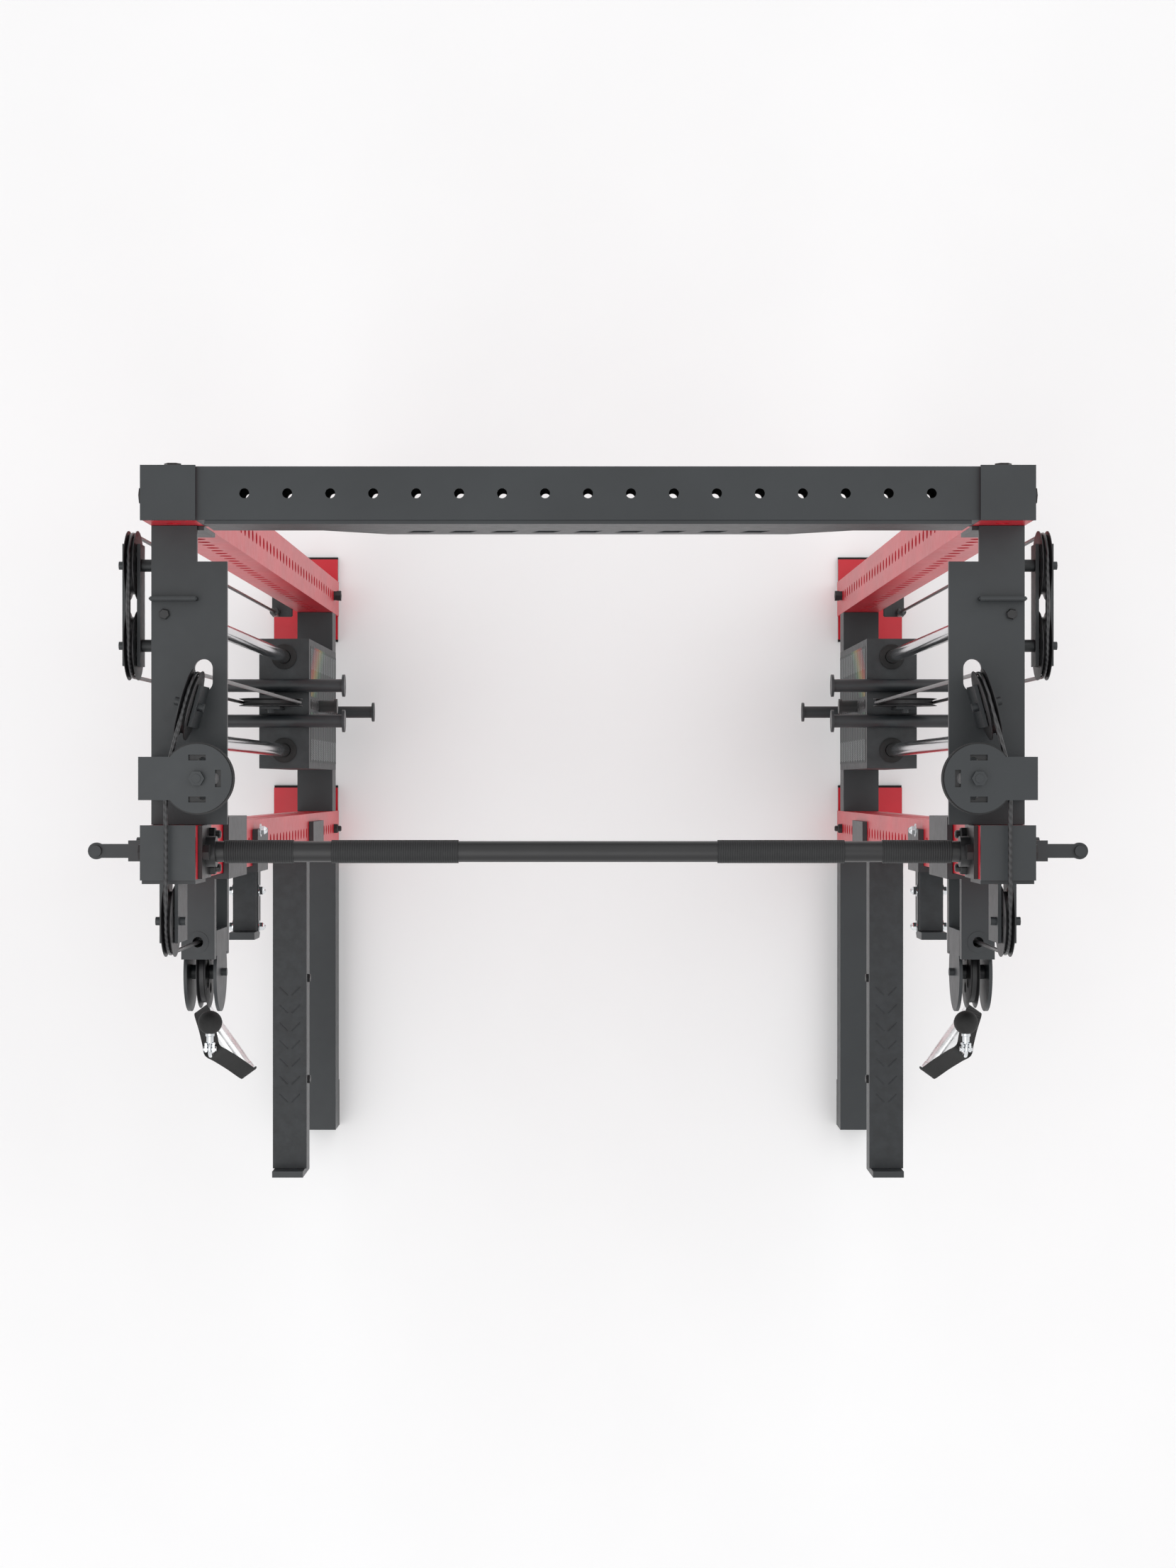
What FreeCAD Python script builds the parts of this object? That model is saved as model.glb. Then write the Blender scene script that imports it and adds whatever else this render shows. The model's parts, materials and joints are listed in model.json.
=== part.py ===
import FreeCAD, Part
import Sketcher
import math
import os
import re

V = FreeCAD.Vector
doc = FreeCAD.newDocument("cable_rack")
sheet = doc.addObject("Spreadsheet::Sheet", "Sizes")

# Driving sizes in millimetres. The rack stands on z = 0, is symmetric about x = 0, and faces -y.
SIZES = {
    "rack_width": 1246, "rack_height": 2210, "front_y": 38, "rear_y": 540,
    "tube_size": 75, "tube_wall": 3, "gap": 0.3,
    "hole_radius": 10, "hole_pitch": 50, "first_hole": 150,
    "hole_count": "=floor((rack_height - first_hole - 10) / hole_pitch)",
    "cap_thick": 5, "flange_thick": 6, "plate_thick": 8,
    "rubber_thick": 6, "foot_out": 105, "foot_in": 35, "foot_length": 176,
    "leg_end": -617, "beam_low": 89,
    "bridge_pitch": 60, "bridge_hole": 7, "bridge_drop": 10,
    "panel_height": 160, "panel_ends": 100, "panel_thick": 5,
    "bar_radius": 15, "bar_height": "=rack_height - 78", "grip_radius": 16.5,
    "deck_height": "=rack_height - 95", "deck_width": 108, "deck_tail": 65, "deck_back": "=rear_y - 89",
    "side_thick": 10, "side_height": 115, "notch_tall": 67, "notch_deep": 24,
    "stack_y": "=(front_y + rear_y) / 2", "rod_spacing": 180, "rod_radius": 12.5, "running": 0.1,
    "weight_width": 96, "weight_depth": 250, "weight_pitch": 25, "weight_gap": 0.4,
    "resting_count": 14, "lifted_count": 7, "stack_base": 200, "head_thick": 30,
    "stem_radius": 12, "pin_radius": 4.9,
    "horn_radius": 12.5, "horn_offset": 34, "horn_reach": 116,
    "cable_radius": 3, "cable_height": "=rack_height + 15", "groove_radius": 45, "lift_radius": 55,
    "trolley_groove": 50, "rim": 5, "wheel_width": 14, "axle_radius": 6, "cheek": 5, "cheek_gap": 8,
    "front_drop": 104, "deflection": 15, "lead": 20, "lift_in": 37.9,
    "outer_height": "=rack_height - 150", "outer_spacing": 116, "outer_end": 300,
    "trolley_hole": "=hole_count - 8", "pin_height": "=first_hole + trolley_hole * hole_pitch",
    "trolley_low": "=pin_height - 100", "trolley_tall": 215, "trolley_wall": 8, "trolley_gap": 1,
    "pin_travel": 22,
    "trolley_axis": "=trolley_low + 133", "swivel_radius": 16, "swivel_bore": 8, "cheek_radius": 60, "head_half": 20,
    "cup_hole": "=hole_count - 15", "cup_low": "=first_hole + cup_hole * hole_pitch - 35",
    "cup_tall": 141, "cup_reach": 124, "cup_width": 42, "cup_shift": 13,
    "arm_low": 570, "arm_tall": 75, "arm_width": 60, "arm_end": -633, "pad_thick": 13, "back_thick": 10,
    "handle_drop": 183, "handle_reach": 281, "grip_length": 122, "grip_turn": 36, "handle_radius": 14,
    "strap_thick": 4, "strap_width": 30,
}
for row, (alias, number) in enumerate(SIZES.items(), 1):
    sheet.set(f"A{row}", alias.replace("_", " "))
    sheet.set(f"B{row}", str(number))
    sheet.setAlias(f"B{row}", alias)
doc.recompute()
size = {alias: float(sheet.get(alias)) for alias in SIZES}
nodes = {}


def full(text):
    """Expression text with each size's alias pointed at the sheet."""
    return re.sub(r"[a-z]+_?[a-z_]*", lambda word: "Sizes." + word.group(0), str(text))


def value(text):
    """What a size expression comes to, for shapes that are worked out in code."""
    numbers = re.sub(r"[a-z]+_?[a-z_]*", lambda word: str(size[word.group(0)]), str(text))
    return FreeCAD.Units.Quantity(numbers).Value


def bind(thing, **properties):
    for name, text in properties.items():
        thing.setExpression(name.replace("__", "."), full(text))
    return thing


def place(thing, x, y, z):
    return bind(thing, Placement__Base__x=x, Placement__Base__y=y, Placement__Base__z=z)


def box(wide, deep, tall, x, y, z):
    """A block centred on x and y, standing on z."""
    thing = bind(doc.addObject("Part::Box", "block"), Length=wide, Width=deep, Height=tall)
    return place(thing, f"{x} - ({wide}) / 2", f"{y} - ({deep}) / 2", z)


TURNS = {
    "z": FreeCAD.Rotation(),
    "x": FreeCAD.Rotation(V(0, 1, 0), 90),
    "y": FreeCAD.Rotation(V(1, 0, 0), -90),
}


def rod(radius, long, x, y, z, along="z"):
    """A cylinder that starts at x, y, z and runs along one axis."""
    thing = bind(doc.addObject("Part::Cylinder", "rod"), Radius=radius, Height=long)
    thing.Placement = FreeCAD.Placement(V(), TURNS[along])
    return place(thing, x, y, z)


def nut(radius, long, x, y, z, along="z"):
    """A hexagonal prism that starts at x, y, z and runs along one axis."""
    thing = bind(doc.addObject("Part::Prism", "nut"), Circumradius=radius, Height=long)
    thing.Polygon = 6
    thing.Placement = FreeCAD.Placement(V(), TURNS[along])
    return place(thing, x, y, z)


def fuse(*pieces):
    thing = doc.addObject("Part::MultiFuse", "joined")
    thing.Shapes = list(pieces)
    thing.Refine = True
    return thing


def cut(base, *tools):
    thing = doc.addObject("Part::Cut", "cut")
    thing.Base = base
    thing.Tool = tools[0] if len(tools) == 1 else fuse(*tools)
    return thing


def group(*pieces):
    thing = doc.addObject("Part::Compound", "group")
    thing.Links = list(pieces)
    return thing


def mirror(source):
    thing = doc.addObject("Part::Mirroring", "mirrored")
    thing.Source = source
    thing.Normal = V(1, 0, 0)
    return thing


def keep(label, thing):
    thing.Label = label
    nodes[label] = thing
    return thing


def sides(label, thing):
    """Left and right pieces, each in a node of its own."""
    keep(f"{label}_left", thing)
    keep(f"{label}_right", mirror(thing))


def both(label, *pieces):
    """Left and right pieces together in one node."""
    keep(label, group(*pieces, *[mirror(piece) for piece in pieces]))


def polygon(body, plane, *outlines):
    """A sketch of closed outlines, each corner held by two bound distances."""
    sketch = body.newObject("Sketcher::SketchObject", "outline")
    sketch.AttachmentSupport = [(next(f for f in body.Origin.OriginFeatures if f.Role == plane), "")]
    sketch.MapMode = "FlatFace"
    for corners in outlines:
        first = sketch.GeometryCount
        spots = [V(value(a), value(b), 0) for a, b in corners]
        for start, end in zip(spots, spots[1:] + spots[:1]):
            sketch.addGeometry(Part.LineSegment(start, end), False)
        for k, (a, b) in enumerate(corners):
            line = first + k
            sketch.addConstraint(Sketcher.Constraint(
                "Coincident", first + (k - 1) % len(corners), 2, line, 1))
            for kind, text, number in (("DistanceX", a, spots[k].x), ("DistanceY", b, spots[k].y)):
                index = sketch.addConstraint(
                    Sketcher.Constraint(kind, -1, 1, line, 1, number))
                sketch.setExpression(f"Constraints[{index}]", full(text))
    return sketch


def circle(body, plane, radius, a, b):
    """A sketch of one circle, its centre and radius bound."""
    sketch = body.newObject("Sketcher::SketchObject", "circle")
    sketch.AttachmentSupport = [(next(f for f in body.Origin.OriginFeatures if f.Role == plane), "")]
    sketch.MapMode = "FlatFace"
    centre = V(value(a), value(b), 0)
    sketch.addGeometry(Part.Circle(centre, V(0, 0, 1), value(radius)), False)
    for kind, text, number in (("DistanceX", a, centre.x), ("DistanceY", b, centre.y)):
        if text != "0":
            index = sketch.addConstraint(Sketcher.Constraint(kind, -1, 1, 0, 3, number))
            sketch.setExpression(f"Constraints[{index}]", full(text))
    if a == "0":
        sketch.addConstraint(Sketcher.Constraint("PointOnObject", 0, 3, -2))
    index = sketch.addConstraint(Sketcher.Constraint("Radius", 0, value(radius)))
    sketch.setExpression(f"Constraints[{index}]", full(radius))
    return sketch


def pad(body, sketch, length, both_ways=False, downward=False):
    feature = body.newObject("PartDesign::Pad", "pad")
    feature.Profile = sketch
    feature.setExpression("Length", full(length))
    feature.Midplane = both_ways
    feature.Reversed = downward
    return feature


def drill(body, sketch):
    """A hole right through, both ways from its sketch."""
    feature = body.newObject("PartDesign::Pocket", "hole")
    feature.Profile = sketch
    feature.Type = 1
    feature.Midplane = True
    return feature


def repeat_up(body, feature, count, pitch):
    pattern = body.newObject("PartDesign::LinearPattern", "row")
    pattern.Originals = [feature]
    pattern.Direction = (next(f for f in body.Origin.OriginFeatures if f.Role == "Z_Axis"), [""])
    pattern.setExpression("Length", full(f"({count} - 1) * {pitch}"))
    pattern.setExpression("Occurrences", full(count))
    body.Tip = pattern
    return pattern


def rectangle(wide, deep):
    """Corners of a centred rectangle."""
    return [(f"{s} * ({wide}) / 2", f"{e} * ({deep}) / 2") for s, e in ((-1, -1), (1, -1), (1, 1), (-1, 1))]


# Places that several pieces share
UX = "(tube_size / 2 - rack_width / 2)"
INNER = f"({UX} + tube_size / 2)"
OUTER = "(-rack_width / 2)"
FACE = "(front_y - tube_size / 2)"
FOOT = "(rubber_thick + plate_thick)"
SPAN = "(rear_y - front_y - tube_size)"
MIDDLE = "((rear_y + front_y) / 2)"
HEAD = "(stack_base + (resting_count + lifted_count) * weight_pitch)"
HEAD_TOP = f"({HEAD} + head_thick)"
DECK_TOP = "(deck_height + plate_thick)"
WHEEL = "(cable_height - groove_radius)"


def upright(label, y):
    """Square tube with rows of round holes on all four faces, on a welded foot plate."""
    body = doc.addObject("PartDesign::Body", label)
    inner = "(tube_size - 2 * tube_wall)"
    tube = polygon(body, "XY_Plane", rectangle("tube_size", "tube_size"), rectangle(inner, inner))
    pad(body, tube, f"rack_height - cap_thick - {FOOT}")
    foot = polygon(body, "XY_Plane", [
        ("-foot_out", "-foot_length / 2"), ("foot_in", "-foot_length / 2"),
        ("foot_in", "foot_length / 2"), ("-foot_out", "foot_length / 2")])
    pad(body, foot, "plate_thick", downward=True)
    for plane in ("XZ_Plane", "YZ_Plane"):
        hole = drill(body, circle(body, plane, "hole_radius", "0", f"first_hole - {FOOT}"))
        repeat_up(body, hole, "hole_count", "hole_pitch")
    place(body, UX, y, FOOT)
    sides(label, body)


def base():
    """Lower side beams and floor legs, with the rubber feet that go under them."""
    beam_tall = "tube_size"
    hollow = "(tube_size - 2 * tube_wall)"
    beam = cut(box("tube_size", f"{SPAN} - 2 * gap", beam_tall, UX, MIDDLE, "beam_low"),
               box(hollow, f"{SPAN} - 2 * gap - 2 * flange_thick", hollow, UX, MIDDLE, "beam_low + tube_wall"))
    leg_long = f"({FACE} - gap - leg_end)"
    leg_mid = f"(({FACE} - gap + leg_end) / 2)"
    leg = cut(box("tube_size", leg_long, beam_tall, UX, leg_mid, f"{FOOT} + gap"),
              box(hollow, f"{leg_long} - 2 * tube_wall", hollow, UX, leg_mid, f"{FOOT} + gap + tube_wall"))
    both("base_rails", beam, leg)
    across = f"({UX} + (foot_in - foot_out) / 2)"
    pads = [box("foot_in + foot_out", "foot_length + 10", "rubber_thick", across, y, 0)
            for y in ("front_y", "rear_y")]
    pads.append(box("tube_size", "100", f"{FOOT} + gap", UX, "leg_end + 50", 0))
    return pads


def rubber_and_caps(feet):
    """Feet under the frame, rings under the stacks, and the flat caps on the uprights."""
    both("feet_and_bumpers", *feet, *bumpers())
    both("upright_caps", *[box("tube_size + 2", "tube_size + 2", "cap_thick", UX, y, "rack_height - cap_thick")
                           for y in ("front_y", "rear_y")])


def bridge():
    """The rear crossmember at the top, with its row of holes, and the panel that hangs before it."""
    each_way = int(value(f"(-{INNER} - bridge_pitch) / bridge_pitch"))
    low = "(rack_height - bridge_drop - tube_size)"
    long = f"(2 * (-{INNER} - gap))"
    hollow = "(tube_size - 2 * tube_wall)"
    tube = fuse(box(long, "tube_size", "tube_size", "0", "rear_y", low),
                *[box("flange_thick", "tube_size", "tube_size + 20", f"{s} * (-{INNER} - gap - flange_thick / 2)",
                      "rear_y", f"{low} - 20") for s in (-1, 1)])
    holes = [rod("bridge_hole", "tube_size + 2", f"{k} * bridge_pitch", "rear_y", f"{low} - 1")
             for k in range(-each_way, each_way + 1)]
    inside = box(f"{long} - 2 * flange_thick", hollow, hollow, "0", "rear_y", f"{low} + tube_wall")
    keep("top_crossmember", cut(tube, inside, *holes))
    body = doc.addObject("PartDesign::Body", "panel")
    half = f"(-{INNER} - 12)"
    deep = "panel_height"
    short = "panel_ends"
    sketch = polygon(body, "XZ_Plane", [
        (f"-{half}", f"-{short}"), ("-380", f"-{short}"), ("-290", f"-{deep}"), ("290", f"-{deep}"),
        ("380", f"-{short}"), (half, f"-{short}"), (half, "-2"), (f"-{half}", "-2")])
    pad(body, sketch, "panel_thick")
    slots = body.newObject("PartDesign::Pocket", "slots")
    slots.Profile = polygon(body, "XZ_Plane", *[
        [(f"{x - 22}", "-132"), (f"{x + 10}", "-132"), (f"{x + 22}", "-104"), (f"{x - 10}", "-104")]
        for x in range(-240, 241, 60)])
    slots.Type = 1
    slots.Midplane = True
    place(body, "0", "rear_y - tube_size / 2 - gap", f"{low} + tube_size")
    keep("crossmember_panel", body)


def pull_up_bar():
    """The bar between the front uprights, its end flanges and its grip sleeves."""
    reach = f"(-{INNER} - gap)"
    flanges = [box("flange_thick", "tube_size", "90", f"{s} * ({reach} - flange_thick / 2)", "front_y",
                   "bar_height - 45") for s in (-1, 1)]
    collars = [rod("bar_radius + 7", "14", f"{s} * ({reach} - flange_thick - 7) - 7", "front_y", "bar_height", "x")
               for s in (-1, 1)]
    keep("pull_up_bar", fuse(rod("bar_radius", f"2 * {reach}", f"-{reach}", "front_y", "bar_height", "x"),
                             *flanges, *collars))
    sleeves = [cut(rod("grip_radius", long, x, "front_y", "bar_height", "x"),
                   rod("bar_radius + running", f"{long} + 2", f"{x} - 1", "front_y", "bar_height", "x"))
               for x, long in ((f"{INNER} + 32", "98"), (f"{INNER} + 184", "180"))]
    both("bar_grips", *sleeves)


def deck():
    """The side plate between the uprights, notched for the trolley, and the deck for rods and pulleys."""
    plate = fuse(box("side_thick", f"{SPAN} - 2 * gap", "side_height", f"{OUTER} + side_thick / 2", MIDDLE,
                     "deck_height - side_height"),
                 *[box("tube_size", "flange_thick", "side_height", UX, f"{y}", "deck_height - side_height")
                   for y in ("front_y + tube_size / 2 + gap + flange_thick / 2",
                             "rear_y - tube_size / 2 - gap - flange_thick / 2")])
    start = "(front_y + tube_size / 2 + 2 * gap)"
    flat = box("deck_width", f"deck_back - {start}", "plate_thick", f"{OUTER} + 1 + deck_width / 2",
               f"(deck_back + {start}) / 2", "deck_height")
    tail_long = "(rear_y - tube_size / 2 - 2 * gap - deck_back)"
    tail = box("deck_tail", f"{tail_long} + 1", "plate_thick", f"{OUTER} + 1 + deck_tail / 2",
               f"deck_back + ({tail_long} - 1) / 2", "deck_height")
    slot = [rod("13", "plate_thick + 2", LIFT_IN, f"stack_y + {y}", "deck_height - 1") for y in (-10, 10)]
    slot.append(box("26", "20", "plate_thick + 2", LIFT_IN, "stack_y", "deck_height - 1"))
    notch = box("tube_size + 4", "notch_deep", "notch_tall + 1", UX, "front_y + (tube_size + notch_deep) / 2",
                "deck_height - side_height - 1")
    both("pulley_decks", cut(plate, notch), cut(fuse(flat, tail), *slot))


# The inner cable run to the stack meets the angled pulley; the outer run is two radii further out.
LIFT_IN = f"({UX} + lift_in)"
LIFT_X = f"({LIFT_IN} - lift_radius)"
LIFT_OUT = f"({LIFT_IN} - 2 * lift_radius)"
LIFT_Z = f"({HEAD_TOP} + plate_thick + lift_radius + rim + 4)"

# The top run bends by the deflection angle round the flat pulley, towards the angled one.
BEND = math.radians(size["deflection"])
TILT_X = f"({LIFT_IN} - groove_radius * {math.sin(BEND):.9f})"
TILT_Y = f"(stack_y - groove_radius * {math.cos(BEND):.9f})"
TURN_Y = f"({TILT_Y} - ({TILT_X} - {UX}) / {math.tan(BEND):.9f})"
FLAT_Y = f"({TURN_Y} - groove_radius * {math.tan(BEND / 2):.9f})"
SWIVEL_Y = f"({FACE} - front_drop)"


def rods():
    """Chrome guide rods."""
    top = "(beam_low + tube_size)"
    both("guide_rods", *[rod("rod_radius", f"deck_height - {top} - 0.4", UX,
                             f"(stack_y + {s} * rod_spacing / 2)", f"{top} + 0.2") for s in (-1, 1)])


def bumpers():
    """Rubber rings round the rods, under the stack."""
    top = "(beam_low + tube_size)"
    spots = [f"(stack_y + {s} * rod_spacing / 2)" for s in (-1, 1)]
    rings = [cut(rod("24", f"stack_base - {top} - 0.6", UX, y, f"{top} + 0.2"),
                 rod("rod_radius + gap", "60", UX, y, f"{top} - 5")) for y in spots]
    return rings


def weights(count, low):
    """A pile of plates with slim gaps between them, bored for the rods and the stem."""
    tall = f"({count} * weight_pitch)"
    gaps = [box("weight_width + 2", "weight_depth + 2", "weight_gap", UX, "stack_y",
                f"{low} + {k} * weight_pitch - weight_gap") for k in range(1, int(size[count]) + 1)]
    bores = [rod("rod_radius + 1.5", f"{tall} + 2", UX, f"stack_y + {s} * rod_spacing / 2", f"{low} - 1")
             for s in (-1, 1)]
    bores.append(rod("stem_radius + 1", f"{tall} + 2", UX, "stack_y", f"{low} - 1"))
    return cut(box("weight_width", "weight_depth", tall, UX, "stack_y", low), *gaps, *bores)


def stack():
    """Resting plates, lifted plates, head with its stem, selector pin, horns and clevis."""
    split = "(stack_base + resting_count * weight_pitch)"
    pin_z = f"({split} + (weight_pitch - weight_gap) / 2)"
    both("resting_plates", weights("resting_count", "stack_base"))
    pin_hole = rod("pin_radius + 0.5", "weight_width", UX, "stack_y", pin_z, "x")
    sides("lifted_plates", cut(weights("lifted_count", split), pin_hole))
    block = box("weight_width", "weight_depth", "head_thick", UX, "stack_y", HEAD)
    bores = [rod("rod_radius + running", "head_thick + 2", UX, f"stack_y + {s} * rod_spacing / 2", f"{HEAD} - 1")
             for s in (-1, 1)]
    stem = rod("stem_radius", f"{HEAD_TOP} - stack_base - 30", UX, "stack_y", "stack_base + 30")
    stem_hole = rod("pin_radius + 0.2", "60", f"{UX} - 30", "stack_y", pin_z, "x")
    sides("stack_head", cut(fuse(block, stem), *bores, stem_hole))
    knob_x = f"({UX} + weight_width / 2 + 1)"
    sides("selector_pin", fuse(rod("pin_radius", "60", f"{knob_x} - 59", "stack_y", pin_z, "x"),
                               rod("12", "30", knob_x, "stack_y", pin_z, "x"),
                               rod("15", "6", f"{knob_x} + 30", "stack_y", pin_z, "x")))
    horns = []
    for s in (-1, 1):
        y = f"(stack_y + {s} * horn_offset)"
        z = f"({HEAD_TOP} + horn_radius)"
        horns.append(fuse(rod("horn_radius", "2 * horn_reach", f"{UX} - horn_reach", y, z, "x"),
                          *[rod("horn_radius + 9", "5", f"{UX} + {e} * horn_reach - 2.5", y, z, "x") for e in (-1, 1)]))
    cheeks = [box("36", "cheek", f"{LIFT_Z} - {HEAD_TOP} + 16", LIFT_X,
                  f"stack_y + {s} * (cheek_gap + cheek / 2)", HEAD_TOP) for s in (-1, 1)]
    foot = box("36", "2 * cheek_gap + 2 * cheek", "plate_thick", LIFT_X, "stack_y", HEAD_TOP)
    axle = rod("axle_radius", "40", LIFT_X, "stack_y - 20", LIFT_Z, "y")
    sides("horns_and_clevis", group(*horns, fuse(*cheeks, foot, axle)))


def wheel(label, groove, turn, x, y, z):
    """A grooved pulley with five lightening holes, its axis turned where it belongs."""
    body = doc.addObject("PartDesign::Body", "wheel")
    edge = f"({groove} + rim)"
    floor = f"({groove} - cable_radius - gap)"
    flank = "(cable_radius + 0.4)"
    half = "(wheel_width / 2)"
    bore = "(axle_radius + 0.05)"
    outline = polygon(body, "XZ_Plane", [
        (bore, f"-{half}"), (edge, f"-{half}"), (edge, f"-{half} + 1"), (floor, f"-{flank}"),
        (floor, flank), (edge, f"{half} - 1"), (edge, half), (bore, half)])
    turned = body.newObject("PartDesign::Revolution", "turned")
    turned.Profile = outline
    turned.ReferenceAxis = (next(f for f in body.Origin.OriginFeatures if f.Role == "Z_Axis"), [""])
    turned.Angle = 360
    hole = drill(body, circle(body, "XY_Plane", f"{groove} / 6", f"{groove} * 0.52", "0"))
    ring = body.newObject("PartDesign::PolarPattern", "ring")
    ring.Originals = [hole]
    ring.Axis = (next(f for f in body.Origin.OriginFeatures if f.Role == "Z_Axis"), [""])
    ring.Angle = 360
    ring.Occurrences = 5
    body.Tip = ring
    body.Placement = FreeCAD.Placement(V(), turn)
    sides(label, place(body, x, y, z))


def yoke(x, y, z, back, front, low, high):
    """Two cheeks either side of a pulley that turns about x, and its axle."""
    deep = f"(({back}) - ({front}))"
    mid = f"((({back}) + ({front})) / 2)"
    cheeks = [box("cheek", deep, f"{high} - ({low})", f"{x} + {s} * (cheek_gap + cheek / 2)", mid, low)
              for s in (-1, 1)]
    axle = rod("axle_radius", "2 * cheek_gap + 2 * cheek + 16", f"{x} - cheek_gap - cheek - 8", y, z, "x")
    return cheeks + [axle]


def top_pulleys():
    """The front, flat and angled pulleys with their brackets, and the outer block."""
    centre_y = f"({FACE} - front_drop + groove_radius)"
    back = box("tube_size", "flange_thick", "100", UX, f"{FACE} - gap - flange_thick / 2", f"{WHEEL} - 80")
    front = fuse(*yoke(UX, centre_y, WHEEL, f"{FACE} - gap", f"{centre_y} - 30", f"{WHEEL} - 70", f"{WHEEL} + 18"), back)
    wheel("front_pulley", "groove_radius", TURNS["x"], UX, centre_y, WHEEL)

    flat_x = f"({UX} + groove_radius)"
    stand = rod("18", f"cable_height - cheek_gap - {DECK_TOP}", flat_x, FLAT_Y, DECK_TOP)
    bolt = rod("axle_radius", "30", flat_x, FLAT_Y, "cable_height - cheek_gap - 1")
    disc = cut(rod("groove_radius + 3", "4", flat_x, FLAT_Y, "cable_height + cheek_gap"),
               *[box("24", "8", "6", flat_x, f"{FLAT_Y} + {s} * 29", "cable_height + cheek_gap - 1") for s in (-1, 1)],
               *[box("8", "24", "6", f"{flat_x} + {s} * 29", FLAT_Y, "cable_height + cheek_gap - 1")
                 for s in (-1, 1)])
    hexagon = nut("11", "8", flat_x, FLAT_Y, "cable_height + cheek_gap + 4")
    wall = box("6", "60", f"cable_height + cheek_gap + 4 - {DECK_TOP}", f"{OUTER} + 4", FLAT_Y, DECK_TOP)
    arm = box("60", "60", "4", f"{OUTER} + 31", FLAT_Y, "cable_height + cheek_gap")
    flat = fuse(stand, bolt, disc, hexagon, wall, arm)
    wheel("flat_pulley", "groove_radius", TURNS["z"], flat_x, FLAT_Y, "cable_height")

    angle = FreeCAD.Rotation(V(0, 0, 1), -size["deflection"])
    tilt = group(*yoke("0", "0", f"{WHEEL} - {DECK_TOP}", "30", "-30", "0", f"{WHEEL} - {DECK_TOP} + 18"))
    tilt.Placement = FreeCAD.Placement(V(), angle)
    place(tilt, TILT_X, TILT_Y, DECK_TOP)
    wheel("angled_pulley", "groove_radius", angle * TURNS["x"], TILT_X, TILT_Y, WHEEL)
    both("pulley_brackets", front, flat, tilt)

    near = "(stack_y + groove_radius)"
    far = "(stack_y + groove_radius + outer_spacing)"
    parts = yoke(LIFT_OUT, near, "outer_height", f"{far} + 30", f"{near} - 30", "outer_height - 20", "outer_height + 20")
    parts.append(rod("axle_radius", "2 * cheek_gap + 2 * cheek + 16", f"{LIFT_OUT} - cheek_gap - cheek - 8",
                     far, "outer_height", "x"))
    inner_face = f"({LIFT_OUT} + cheek_gap + cheek)"
    spacers = [rod("9", f"{OUTER} - {inner_face}", inner_face, y, "outer_height", "x") for y in (near, far)]
    both("outer_pulley_blocks", fuse(*parts, *spacers))
    wheel("outer_pulley_front", "groove_radius", TURNS["x"], LIFT_OUT, near, "outer_height")
    wheel("outer_pulley_rear", "groove_radius", TURNS["x"], LIFT_OUT, far, "outer_height")


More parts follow.
